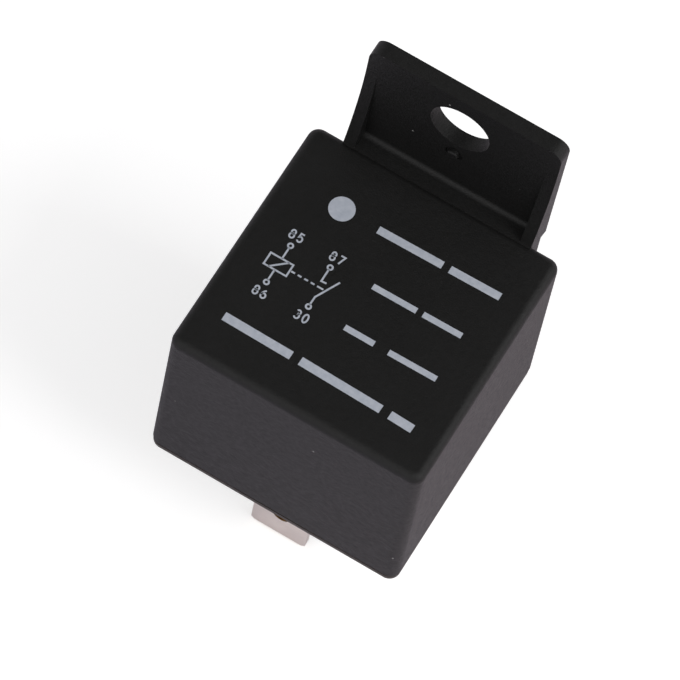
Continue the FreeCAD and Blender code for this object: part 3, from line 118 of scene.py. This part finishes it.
class Nodes:
    """A short way to build a material's node tree."""

    def __init__(self, name):
        self.material = bpy.data.materials.new(name)
        self.material.use_nodes = True
        self.tree = self.material.node_tree
        self.shader = self.tree.nodes["Principled BSDF"]

    def add(self, kind, **values):
        """A new node. A value goes to the input of that name, or else to the node's own setting."""
        node = self.tree.nodes.new(f"ShaderNode{kind}")
        for key, value in values.items():
            if key in node.inputs:
                node.inputs[key].default_value = value
            else:
                setattr(node, key, value)
        return node

    def link(self, source, target):
        self.tree.links.new(source, target)

    def set(self, **values):
        """Values on the shader's own inputs, the same all over the surface."""
        for key, value in values.items():
            self.shader.inputs[key.replace("_", " ")].default_value = value

    def place(self):
        """Object coordinates in metres, the same for every part."""
        return self.add("TexCoord").outputs["Object"]

    def normal(self):
        return self.add("NewGeometry").outputs["Normal"]

    def along(self, axis, vector):
        """The X, Y or Z of a vector."""
        node = self.add("SeparateXYZ")
        self.link(vector, node.inputs["Vector"])
        return node.outputs[axis]

    def noise(self, size, detail=3.0, roughness=0.55, stretch=None):
        """Noise whose features are about size millimetres wide."""
        source = self.place()
        if stretch:
            scaled = self.add("Mapping")
            scaled.inputs["Scale"].default_value = stretch
            self.link(source, scaled.inputs["Vector"])
            source = scaled.outputs["Vector"]
        node = self.add("TexNoise", Scale=1 / (size * MM), Detail=detail, Roughness=roughness)
        self.link(source, node.inputs["Vector"])
        return node.outputs["Fac"]

    def ramp(self, source, first, last):
        """A colour ramp between two stops of (position, colour)."""
        node = self.add("ValToRGB")
        for element, (position, colour) in zip(node.color_ramp.elements, (first, last)):
            element.position = position
            element.color = (*colour, 1.0)
        self.link(source, node.inputs["Fac"])
        return node.outputs["Color"]

    def span(self, source, low, high, to_low, to_high):
        """Map a value from one range to another, clamped."""
        node = self.add("MapRange")
        for name, value in zip(("From Min", "From Max", "To Min", "To Max"), (low, high, to_low, to_high)):
            node.inputs[name].default_value = value
        self.link(source, node.inputs["Value"])
        return node.outputs["Result"]

    def math(self, operation, one, other=None):
        node = self.add("Math", operation=operation)
        for socket, value in zip(node.inputs, (one, other)):
            if isinstance(value, (int, float)):
                socket.default_value = value
            elif value is not None:
                self.link(value, socket)
        return node.outputs["Value"]

    def mix(self, factor, one, other):
        """Mix two colours by a factor between 0 and 1."""
        node = self.add("Mix", data_type="RGBA")
        for index, value in ((MIX_FACTOR, factor), (MIX_ONE, one), (MIX_OTHER, other)):
            if isinstance(value, tuple):
                node.inputs[index].default_value = (*value, 1.0)
            else:
                self.link(value, node.inputs[index])
        return node.outputs[MIX_RESULT]

    def cloudy(self, cloud, one, other):
        """A colour that drifts between two colours with a cloud of noise."""
        return self.ramp(cloud, (CLOUD_LOW, one), (CLOUD_HIGH, other))

    def base(self, source):
        self.link(source, self.shader.inputs["Base Color"])

    def rough(self, cloud, low, high):
        """Roughness that drifts between two values with a cloud of noise."""
        self.link(self.span(cloud, CLOUD_LOW, CLOUD_HIGH, low, high), self.shader.inputs["Roughness"])

    def bump(self, *layers):
        """Stack bumps of (height source, height in millimetres)."""
        normal = None
        for source, height in layers:
            node = self.add("Bump", Strength=1.0, Distance=height * MM)
            self.link(source, node.inputs["Height"])
            if normal:
                self.link(normal, node.inputs["Normal"])
            normal = node.outputs["Normal"]
        self.link(normal, self.shader.inputs["Normal"])


def dust_specks(make, colour, share):
    """Lay tiny light specks over a colour, in a share of a random pattern's cells, but not on top faces.

    Their core and rim are shares of the cells' spacing."""
    spacing, core, rim, speck_colour = 1.5, 0.05, 0.08, (0.35, 0.34, 0.33)
    cells = make.add("TexVoronoi", Scale=1 / (spacing * MM), Randomness=1.0)
    make.link(make.place(), cells.inputs["Vector"])
    near = make.span(cells.outputs["Distance"], core, rim, 1.0, 0.0)
    pick = make.add("SeparateColor")
    make.link(cells.outputs["Color"], pick.inputs["Color"])
    chosen = make.math("GREATER_THAN", pick.outputs["Red"], 1.0 - share)
    not_top = make.math("LESS_THAN", make.along("Z", make.normal()), LEVEL_FACE)
    speck = make.math("MULTIPLY", near, make.math("MULTIPLY", chosen, not_top))
    return make.mix(speck, colour, speck_colour)


def black_plastic(name, dark, light, grain, dust=0.0):
    """Black moulded plastic with a fine spark-eroded grain over a coarse one, and a share of dust specks."""
    cloud_size, coarse_grain = 6.0, grain * 3.5
    coarse_height, fine_height = 0.034, 0.05
    make = Nodes(name)
    colour = make.cloudy(make.noise(cloud_size, detail=2.0), dark, light)
    make.base(dust_specks(make, colour, dust) if dust else colour)
    fine, coarse = make.noise(grain, detail=4.0, roughness=0.65), make.noise(coarse_grain)
    make.rough(coarse, low=0.42, high=0.52)
    make.bump((coarse, coarse_height), (fine, fine_height))
    make.set(IOR=1.46, Specular_IOR_Level=0.35)
    return make.material


def plated_blade(name):
    """Tin-plated brass strip with faint rolling lines, and bare brass where it was cut below the seat."""
    dark_tin, light_tin, bare_brass = (0.81, 0.77, 0.695), (0.905, 0.865, 0.785), (0.42, 0.25, 0.08)
    cloud_size, line_width, line_stretch, line_height = 2.5, 0.12, (1.0, 1.0, 0.06), 0.0012
    seating_level = 0.0
    make = Nodes(name)
    cloud = make.noise(cloud_size)
    plating = make.cloudy(cloud, dark_tin, light_tin)
    level = make.math("GREATER_THAN", make.math("ABSOLUTE", make.along("Z", make.normal())), LEVEL_FACE)
    below_seat = make.math("LESS_THAN", make.along("Z", make.place()), seating_level)
    make.base(make.mix(make.math("MULTIPLY", level, below_seat), plating, bare_brass))
    make.rough(cloud, low=0.30, high=0.42)
    make.bump((make.noise(line_width, detail=2.0, stretch=line_stretch), line_height))
    make.set(Metallic=1.0)
    return make.material


def metal(name, dark, light, roughness):
    """Plated or drawn metal with faint cloudy variation and fine lines."""
    cloud_size, drift, line_width, line_height = 1.8, 0.06, 0.2, 0.002
    make = Nodes(name)
    cloud = make.noise(cloud_size)
    make.base(make.cloudy(cloud, dark, light))
    make.rough(cloud, roughness - drift, roughness + drift)
    make.bump((make.noise(line_width, detail=2.0), line_height))
    make.set(Metallic=1.0)
    return make.material


def wound_copper(name):
    """Enamelled copper wire laid turn by turn: fine ridges around the coil."""
    dark, light = (0.42, 0.12, 0.04), (0.62, 0.24, 0.09)
    cloud_size, ridge_scale, ridge_height = 1.2, 0.4, 0.05
    make = Nodes(name)
    ridges = make.add("TexWave", wave_type="BANDS", bands_direction="Z", Scale=1 / (ridge_scale * MM),
                      Distortion=0.3)
    make.link(make.place(), ridges.inputs["Vector"])
    cloud = make.noise(cloud_size)
    make.base(make.cloudy(cloud, dark, light))
    make.rough(cloud, low=0.22, high=0.34)
    make.bump((ridges.outputs["Fac"], ridge_height))
    make.set(Metallic=0.85, Coat_Weight=0.5)
    return make.material


def light_plastic(name, dark, light, roughness, coat=0.0):
    """Pale or yellow plastic with a faint cloud and a fine grain, glossier with a coat."""
    cloud_size, drift, grain, grain_height = 3.0, 0.05, 0.15, 0.004
    make = Nodes(name)
    cloud = make.noise(cloud_size)
    make.base(make.cloudy(cloud, dark, light))
    make.rough(cloud, roughness - drift, roughness + drift)
    make.bump((make.noise(grain, detail=4.0), grain_height))
    make.set(Coat_Weight=coat)
    return make.material


def braided_copper(name):
    """Crossing strands of bare copper, turned both ways by the same angle, in radians."""
    shaded, lit = (0.40, 0.16, 0.07), (0.78, 0.42, 0.25)
    lay, strand_scale, strand_height = 0.7, 0.9, 0.08
    deep, high, deep_roughness, high_roughness = 0.2, 0.8, 0.45, 0.3
    make = Nodes(name)
    heights = []
    for turn in (lay, -lay):
        turned = make.add("Mapping")
        turned.inputs["Rotation"].default_value = (turn, 0.0, turn)
        make.link(make.place(), turned.inputs["Vector"])
        strands = make.add("TexWave", wave_type="BANDS", bands_direction="Z", Scale=1 / (strand_scale * MM))
        make.link(turned.outputs["Vector"], strands.inputs["Vector"])
        heights.append(strands.outputs["Fac"])
    weave = make.math("MAXIMUM", *heights)
    make.base(make.ramp(weave, (deep, shaded), (high, lit)))
    make.link(make.span(weave, 0.0, 1.0, deep_roughness, high_roughness), make.shader.inputs["Roughness"])
    make.bump((weave, strand_height))
    make.set(Metallic=1.0)
    return make.material


def print_ink(name):
    """Pale blue-grey pad-printed ink, with small differences of cover."""
    thin, full = (0.43, 0.47, 0.54), (0.55, 0.58, 0.645)
    thin_from, full_from = 0.25, 0.75
    cloud_size, grain, grain_height = 0.5, 0.1, 0.003
    make = Nodes(name)
    cloud = make.noise(cloud_size, detail=4.0)
    make.base(make.ramp(cloud, (thin_from, thin), (full_from, full)))
    make.rough(cloud, low=0.45, high=0.6)
    make.bump((make.noise(grain), grain_height))
    return make.material


FINISHES = {
    "cover_plastic": black_plastic("cover_plastic", (0.0077, 0.0076, 0.0073), (0.0093, 0.0092, 0.0089),
                                   grain=0.16, dust=0.1),
    "base_plastic": black_plastic("base_plastic", (0.048, 0.040, 0.036), (0.062, 0.052, 0.047), grain=0.12),
    "tinned_blade": plated_blade("tinned_blade"),
    "soft_iron": metal("soft_iron", (0.48, 0.48, 0.50), (0.60, 0.60, 0.61), roughness=0.38),
    "bobbin_plastic": light_plastic("bobbin_plastic", (0.62, 0.59, 0.50), (0.72, 0.69, 0.60), roughness=0.4),
    "copper_wire": wound_copper("copper_wire"),
    "coil_tape": light_plastic("coil_tape", (0.60, 0.42, 0.05), (0.70, 0.52, 0.08), roughness=0.25,
                               coat=0.3),
    "spring_copper": metal("spring_copper", (0.66, 0.34, 0.18), (0.76, 0.44, 0.26), roughness=0.28),
    "rivet_steel": metal("rivet_steel", (0.55, 0.55, 0.56), (0.66, 0.66, 0.67), roughness=0.3),
    "contact_silver": metal("contact_silver", (0.82, 0.81, 0.79), (0.90, 0.89, 0.87), roughness=0.24),
    "spring_steel": metal("spring_steel", (0.42, 0.42, 0.43), (0.55, 0.55, 0.56), roughness=0.32),
    "bare_copper": braided_copper("bare_copper"),
}
INK = print_ink("print_ink")


def dress_parts():
    """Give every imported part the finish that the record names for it."""
    for node, part in frame["nodes"].items():
        part.data.materials.clear()
        part.data.materials.append(FINISHES[SLOTS[node]])


# Flexible parts, and the levels between which each of them would bend when the armature rocks; they are
# shown unbent
FLEXIBLE_PARTS = {
    "return_spring": (9.2, 18.6),
    "copper_braid": (7.0, 21.0),
}


def bend_with_armature(node):
    """Show a flexible part as an unbent copy in its place, and hide the part itself."""
    piece = bpy.data.objects.new(f"{node}_flexible", frame["nodes"][node].data.copy())
    bpy.context.collection.objects.link(piece)
    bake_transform(piece)
    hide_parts(node)


# Print on the cover's top face: a plain wiring diagram with its terminal numbers, plain bars and a dot

# The cover's highest corner in front of the middle. The bracket stands behind it.
TOP_LEVEL = max(corner.co.z for corner in frame["nodes"]["cover"].data.vertices if corner.co.y < 0) / MM
INK_THICKNESS = 0.012
STROKE = 0.19
RING_RADIUS = 0.25
STEPS_PER_QUARTER = 8
NUMBER_HEIGHT = 0.93
NUMBER_WIDTH = 0.48
NUMBER_GAP = 0.4
NUMBER_STROKE = 0.18
NUMBER_CENTRES = {"85": (-9.23, 2.28), "86": (-9.18, -4.81), "87": (-4.7, 2.35), "30": (-4.48, -4.88)}

# Rows of bars: their width, and where each bar starts and ends
BAR_ROWS = {
    "upper": (0.85, [[(-2.9, 7.2), (4.3, 7.3)], [(5.1, 7.3), (10.7, 7.4)]]),
    "middle": (0.65, [[(-0.3, 1.65), (4.6, 1.68)], [(5.3, 1.7), (9.6, 1.75)]]),
    "lower": (0.65, [[(-0.4, -3.6), (2.9, -3.6)], [(4.5, -3.6), (9.8, -3.55)]]),
    "front": (0.95, [[(-10.8, -8.9), (-3.2, -9.0)], [(-2.2, -9.0), (6.9, -9.2)],
                     [(7.9, -9.25), (10.5, -9.35)]]),
}
DOT_CENTRE = (-7.0, 7.2)
DOT_RADIUS = 1.35

# Least cosine of half a bend, so that a line's sharp corner reaches out by its width at most
LEAST_BEND_COSINE = 0.5


def side_points(points, closed, width):
    """Points left and right of a line of ink, so that the strip between them keeps its width."""
    lefts, rights = [], []
    for index, point in enumerate(points):
        before = points[index - 1] if index or closed else None
        after = points[(index + 1) % len(points)] if index + 1 < len(points) or closed else None
        ways = [(Vector(two) - Vector(one)).normalized() for one, two in ((before, point), (point, after))
                if one and two]
        along = sum(ways, Vector((0, 0))).normalized()
        reach = width / 2 / max(along.dot(ways[0]), LEAST_BEND_COSINE)
        side = Vector((-along.y, along.x)) * reach
        lefts.append(Vector(point) + side)
        rights.append(Vector(point) - side)
    return lefts, rights


def add_row(shape, points, level):
    """A row of new corners over points of the print's plane, at a level."""
    return [shape.verts.new((x * MM, y * MM, level * MM)) for x, y in points]


def add_patch(shape, corners):
    """A thin block of ink over a patch, its corners counter-clockwise from above."""
    low = add_row(shape, corners, TOP_LEVEL)
    high = add_row(shape, corners, TOP_LEVEL + INK_THICKNESS)
    shape.faces.new(high)
    shape.faces.new(low[::-1])
    for index in range(len(low)):
        after = (index + 1) % len(low)
        shape.faces.new((low[index], low[after], high[after], high[index]))


def add_line(shape, points, closed, width):
    """A thin strip of ink along a line of points."""
    rows = [add_row(shape, side, level) for side in side_points(points, closed, width)
            for level in (TOP_LEVEL, TOP_LEVEL + INK_THICKNESS)]
    left_low, left_high, right_low, right_high = rows
    for one in range(len(points) if closed else len(points) - 1):
        two = (one + 1) % len(points)
        shape.faces.new((right_high[one], right_high[two], left_high[two], left_high[one]))
        shape.faces.new((left_low[one], left_low[two], right_low[two], right_low[one]))
        shape.faces.new((right_low[one], right_low[two], right_high[two], right_high[one]))
        shape.faces.new((left_low[two], left_low[one], left_high[one], left_high[two]))
    if not closed:
        shape.faces.new((right_low[0], right_high[0], left_high[0], left_low[0]))
        shape.faces.new((left_low[-1], left_high[-1], right_high[-1], right_low[-1]))


def ink_piece(name, lines=(), rings=(), patches=(), width=STROKE):
    """One piece of print: open lines, closed lines and filled patches, in the top face's plane."""
    shape = bmesh.new()
    for points in lines:
        add_line(shape, points, False, width)
    for points in rings:
        add_line(shape, points, True, width)
    for corners in patches:
        add_patch(shape, corners)
    mesh = bpy.data.meshes.new(name)
    shape.to_mesh(mesh)
    shape.free()
    piece = bpy.data.objects.new(name, mesh)
    bpy.context.collection.objects.link(piece)
    mesh.materials.append(INK)
    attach(piece, HOUSING)


def arc(centre, across, up, start, end):
    """Points along an oval arc, from one angle to another, counted from the right."""
    count = max(2, round(STEPS_PER_QUARTER * abs(end - start) / 90))
    turns = [math.radians(start + (end - start) * step / count) for step in range(count + 1)]
    return [(centre[0] + across * math.cos(turn), centre[1] + up * math.sin(turn)) for turn in turns]


def oval(centre, across, up):
    """Points round a whole oval."""
    return arc(centre, across, up, 0, 360)[:-1]


def terminal_ring(centre):
    """The small ring at a terminal of the diagram."""
    return oval(centre, RING_RADIUS, RING_RADIUS)


def digit(figure, left, low):
    """Open and closed centre lines of a printed figure whose lower left corner is given.

    Its forms are shares of the figure's width and height."""
    width, height, half = NUMBER_WIDTH, NUMBER_HEIGHT, NUMBER_WIDTH / 2
    middle, top = left + half, low + height
    upper, lower = (middle, low + height * 0.76), (middle, low + height * 0.29)
    if figure == "0":
        return [], [oval((middle, low + height / 2), half, height / 2)]
    if figure == "3":
        bow = arc(upper, half * 0.9, height * 0.24, 150, -80)
        bowl = arc(lower, half, height * 0.29, 80, -155)
        return [bow + bowl], []
    if figure == "5":
        flag_end, flag_start = (left + width * 0.95, top), (left + width * 0.18, top)
        stem_foot = (left + width * 0.1, low + height * 0.55)
        bowl = arc((middle, low + height * 0.32), half, height * 0.32, 125, -150)
        return [[flag_end, flag_start, stem_foot, *bowl]], []
    if figure == "6":
        stem = arc((left + width * 1.1, lower[1]), width * 1.1, height * 0.71, 178, 112)
        return [stem], [oval(lower, half, height * 0.29)]
    if figure == "7":
        return [[(left, top), (left + width, top), (left + width * 0.35, low)]], []
    return [], [oval(upper, half * 0.85, height * 0.24), oval(lower, half, height * 0.29)]


def print_number(text, centre):
    """A printed terminal number, made of the figures 0, 3, 5, 6, 7 and 8."""
    pitch = NUMBER_WIDTH + NUMBER_GAP
    left = centre[0] - (len(text) * pitch - NUMBER_GAP) / 2
    lines, rings = [], []
    for place, figure in enumerate(text):
        more_lines, more_rings = digit(figure, left + place * pitch, centre[1] - NUMBER_HEIGHT / 2)
        lines += more_lines
        rings += more_rings
    ink_piece(f"number_{text}", lines, rings, width=NUMBER_STROKE)


def print_coil():
    """The coil's symbol between terminals 85 and 86: a box with a slanted stroke."""
    middle, ring_back, ring_front = -9.19, 1.05, -3.57
    box_left, box_right, box_front, box_back = -10.43, -7.9, -2.0, -0.6
    slant_left, slant_right = -9.9, -8.35
    box = [(box_left, box_front), (box_right, box_front), (box_right, box_back), (box_left, box_back)]
    ink_piece("print_coil",
              [[(slant_left, box_front), (slant_right, box_back)],
               [(middle, ring_back - RING_RADIUS), (middle, box_back)],
               [(middle, box_front), (middle, ring_front + RING_RADIUS)]],
              [box, terminal_ring((middle, ring_back)), terminal_ring((middle, ring_front))])


def print_link():
    """The dashed line from the coil's box to the switch: four dashes and a longer last one."""
    level, dash, last_dash = -1.28, 0.42, 0.7
    dashes = ((-7.75, dash), (-7.02, dash), (-6.28, dash), (-5.56, dash), (-4.85, last_dash))
    ink_piece("print_link", [[(left, level), (left + length, level)] for left, length in dashes])


def print_switch():
    """The make contact's symbol between terminals 87 and 30: a hooked lead and a slanted arm."""
    ring_87, ring_30 = (-4.78, 1.13), (-4.45, -3.61)
    hook, hook_end = (ring_87[0], -0.6), (-4.22, -0.55)
    arm_end, arm_foot = (-3.16, 0.25), (-4.43, -2.39)
    ink_piece("print_switch",
              [[(ring_87[0], ring_87[1] - RING_RADIUS), hook, hook_end],
               [arm_end, arm_foot, (ring_30[0], ring_30[1] + RING_RADIUS)]],
              [terminal_ring(ring_87), terminal_ring(ring_30)])


def print_diagram():
    """The wiring diagram: coil between 85 and 86, make contact between 30 and 87."""
    print_coil()
    print_link()
    print_switch()
    for text, centre in NUMBER_CENTRES.items():
        print_number(text, centre)


def print_bars():
    """Plain bars and a plain dot, in the places and at the weight of the lettering that is left off."""
    for name, (width, bars) in BAR_ROWS.items():
        ink_piece(f"print_bar_{name}", bars, width=width)
    ink_piece("print_dot", patches=[oval(DOT_CENTRE, DOT_RADIUS, DOT_RADIUS)])


# Floor, world and lamps

WHITE = (1.0, 1.0, 1.0)

# The floor's level is the frame's own number, in metres. Its whites and its glow are shares of full white.
FLOOR_LEVEL = CAD_BOX[0][2]
FLOOR_RADIUS = 4000.0
FLOOR_SIDES = 96
FLOOR_CLOUD = 40.0
FLOOR_DARK = 0.80
FLOOR_LIGHT = 0.82
FLOOR_MIRRORED = 0.81
FLOOR_GLOW = 0.55

# What glossy rays see of the floor: a share of its glow, with a painted reflection tint, cool in front and
# on the left and warm at the back and on the right, which tints the cover's faces that mirror the floor. The
# tint changes where right plus back is between minus and plus this distance.
MIRRORED_SHARE = 0.17
PAINTED_COOL_REFLECTION = (0.93, 0.87, 0.975)
PAINTED_WARM_REFLECTION = (1.03, 0.925, 0.995)
PAINTED_TINT_CHANGE = 30.0

# Direction of the tent's dark opening, and the tent's levels at two cosines of the angle to it
OPENING = (-0.135, 0.41, 0.902)
OPENING_EDGES = ((0.72, 1.0), (0.93, 0.06))
TENT_LEVEL = 0.6
TENT_GREEN = 0.99

LAMP_DISTANCE = 900.0
LAMP_SIDE = 500.0


def floor_material():
    """White that glows a little for the camera, and less in reflections, where it carries a painted
    reflection tint.
    """
    make = Nodes("floor_white")
    cloud = make.noise(FLOOR_CLOUD)
    rays = make.add("LightPath").outputs
    white = make.cloudy(cloud, (FLOOR_DARK,) * 3, (FLOOR_LIGHT,) * 3)
    place = make.place()
    painted_tint_side = make.math("ADD", make.along("X", place), make.along("Y", place))
    painted_tint_side = make.span(painted_tint_side, -PAINTED_TINT_CHANGE * MM, PAINTED_TINT_CHANGE * MM, 0.0, 1.0)
    # Painted reflection: the floor's colour for glossy rays only, cool in front and on the left, warm at the
    # back and on the right.
    painted_cool, painted_warm = (tuple(FLOOR_MIRRORED * part for part in tint) for tint in (PAINTED_COOL_REFLECTION, PAINTED_WARM_REFLECTION))
    make.base(make.mix(rays["Is Glossy Ray"], white, make.mix(painted_tint_side, painted_cool, painted_warm)))
    make.rough(cloud, low=0.85, high=0.95)
    mirrored = make.math("MULTIPLY", rays["Is Glossy Ray"], MIRRORED_SHARE)
    seen = make.math("MAXIMUM", rays["Is Camera Ray"], rays["Is Transmission Ray"])
    glow = make.math("MULTIPLY", make.math("MAXIMUM", seen, mirrored), FLOOR_GLOW)
    # Painted reflection tint on the glow that glossy rays see.
    glow_colour = make.mix(rays["Is Glossy Ray"], WHITE, make.mix(painted_tint_side, PAINTED_COOL_REFLECTION, PAINTED_WARM_REFLECTION))
    make.link(glow_colour, make.shader.inputs["Emission Color"])
    make.link(glow, make.shader.inputs["Emission Strength"])
    return make.material


def make_floor():
    """A round white floor that the relay stands on. It keeps the relay's shadow."""
    bpy.ops.mesh.primitive_circle_add(vertices=FLOOR_SIDES, radius=FLOOR_RADIUS * MM, fill_type="NGON",
                                      location=(0, 0, FLOOR_LEVEL))
    floor = bpy.context.object
    floor.name = "floor"
    floor.data.materials.append(floor_material())


def make_world():
    """A white studio tent with a dark opening high up at the back, which the top face mirrors.

    The camera sees plain white in its place."""
    world = bpy.data.worlds.new("studio")
    world.use_nodes = True
    nodes, join = world.node_tree.nodes, world.node_tree.links.new
    tent = nodes["Background"]
    tent.inputs["Strength"].default_value = TENT_LEVEL
    direction = nodes.new("ShaderNodeTexCoord")
    nearness = nodes.new("ShaderNodeVectorMath")
    nearness.operation = "DOT_PRODUCT"
    nearness.inputs[1].default_value = OPENING
    ramp = nodes.new("ShaderNodeValToRGB")
    ramp.color_ramp.interpolation = "EASE"
    for element, (position, level) in zip(ramp.color_ramp.elements, OPENING_EDGES):
        element.position = position
        element.color = (level, level * TENT_GREEN, level, 1.0)
    join(direction.outputs["Generated"], nearness.inputs[0])
    join(nearness.outputs["Value"], ramp.inputs["Fac"])
    join(ramp.outputs["Color"], tent.inputs["Color"])
    white = nodes.new("ShaderNodeBackground")
    white.inputs["Color"].default_value = (*WHITE, 1.0)
    rays = nodes.new("ShaderNodeLightPath")
    seen = nodes.new("ShaderNodeMath")
    seen.operation = "MAXIMUM"
    join(rays.outputs["Is Camera Ray"], seen.inputs[0])
    join(rays.outputs["Is Transmission Ray"], seen.inputs[1])
    choice = nodes.new("ShaderNodeMixShader")
    join(seen.outputs["Value"], choice.inputs["Fac"])
    join(tent.outputs["Background"], choice.inputs[1])
    join(white.outputs["Background"], choice.inputs[2])
    join(choice.outputs["Shader"], nodes["World Output"].inputs["Surface"])
    bpy.context.scene.world = world


def make_lamp(name, azimuth, elevation, power):
    """A square soft lamp aimed at the relay. Azimuth 0 is the front and 90 the right. Power is in watts."""
    data = bpy.data.lights.new(name, "AREA")
    data.shape = "SQUARE"
    data.size = LAMP_SIDE * MM
    data.energy = power
    lamp = bpy.data.objects.new(name, data)
    turn, rise = math.radians(azimuth), math.radians(elevation)
    right, back, up = math.sin(turn) * math.cos(rise), -math.cos(turn) * math.cos(rise), math.sin(rise)
    lamp.location = Vector((right, back, up)) * (LAMP_DISTANCE * MM)
    lamp.rotation_euler = (-lamp.location).to_track_quat("-Z", "Y").to_euler()
    bpy.context.collection.objects.link(lamp)


make_camera()
dress_parts()
for flexible_part, bend_levels in FLEXIBLE_PARTS.items():
    bend_with_armature(flexible_part)
print_diagram()
print_bars()
bpy.context.scene.view_settings.view_transform = "Standard"
make_floor()
make_world()
make_lamp("key_lamp", 88, 42, 3.2)
make_lamp("fill_lamp", -20, 30, 0.9)
